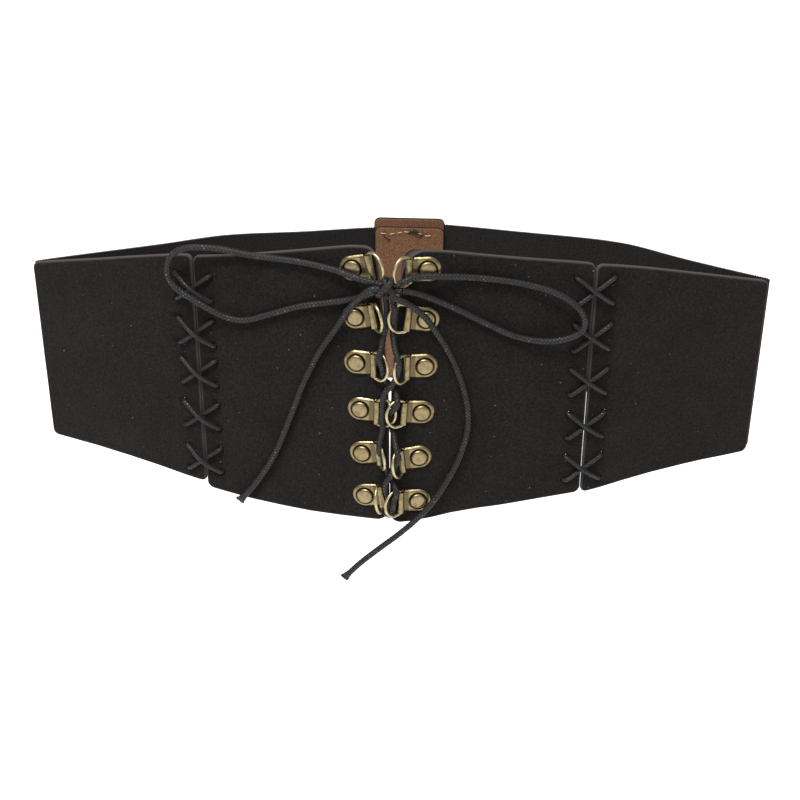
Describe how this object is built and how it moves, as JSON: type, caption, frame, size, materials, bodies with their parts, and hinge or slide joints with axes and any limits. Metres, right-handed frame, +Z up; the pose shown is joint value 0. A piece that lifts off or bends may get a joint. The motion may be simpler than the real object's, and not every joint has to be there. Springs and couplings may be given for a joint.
{
  "type": "wide elastic waist belt",
  "caption": "Corset-style wide belt: suede front panels laced with cord through brass rings, cross-laced side seams, elastic back and a leather closing tab.",
  "frame": {"origin": "middle of the closed loop, at half the height of the elastic, where a waist would be", "axes": "+X to the right of whoever looks at the laced front, -Y out of the front, +Z up towards the bow"},
  "size_m": [0.335, 0.1255, 0.1642],
  "materials": {
    "suede": "black suede with a fine nap",
    "elastic_web": "black ribbed woven elastic",
    "tab_leather": "tan grained leather",
    "waxed_cord": "dark waxed cord, slightly shiny",
    "flat_lace": "dark waxed lace",
    "antique_brass": "antique brass with dark recesses",
    "stud_metal": "plain metal, hidden in the closing tab"
  },
  "bodies": {
    "root": {"panel_front_left": "suede", "panel_front_right": "suede", "panel_outer_left": "suede", "panel_outer_right": "suede", "elastic_left": "elastic_web", "elastic_right": "elastic_web", "cross_lace_left_falls_right": "flat_lace", "cross_lace_left_falls_left": "flat_lace", "cross_lace_right_falls_right": "flat_lace", "cross_lace_right_falls_left": "flat_lace", "hook_plate_left_1": "antique_brass", "hook_plate_left_2": "antique_brass", "hook_plate_left_3": "antique_brass", "hook_plate_left_4": "antique_brass", "hook_plate_left_5": "antique_brass", "hook_plate_left_6": "antique_brass", "hook_plate_right_1": "antique_brass", "hook_plate_right_2": "antique_brass", "hook_plate_right_3": "antique_brass", "hook_plate_right_4": "antique_brass", "hook_plate_right_5": "antique_brass", "hook_plate_right_6": "antique_brass", "ring_left_1": "antique_brass", "ring_left_2": "antique_brass", "ring_left_3": "antique_brass", "ring_left_4": "antique_brass", "ring_left_5": "antique_brass", "ring_left_6": "antique_brass", "ring_right_1": "antique_brass", "ring_right_2": "antique_brass", "ring_right_3": "antique_brass", "ring_right_4": "antique_brass", "ring_right_5": "antique_brass", "ring_right_6": "antique_brass", "rivet_left_1": "antique_brass", "rivet_left_2": "antique_brass", "rivet_left_3": "antique_brass", "rivet_left_4": "antique_brass", "rivet_left_5": "antique_brass", "rivet_left_6": "antique_brass", "rivet_right_1": "antique_brass", "rivet_right_2": "antique_brass", "rivet_right_3": "antique_brass", "rivet_right_4": "antique_brass", "rivet_right_5": "antique_brass", "rivet_right_6": "antique_brass", "tab_inner": "tab_leather", "tab_outer": "tab_leather", "press_stud_strip": "stud_metal", "centre_lace": "waxed_cord", "bow_loop_left": "waxed_cord", "bow_loop_right": "waxed_cord", "bow_tail_left": "waxed_cord", "bow_tail_right": "waxed_cord", "bow_knot": "waxed_cord"}
  },
  "joints": []
}
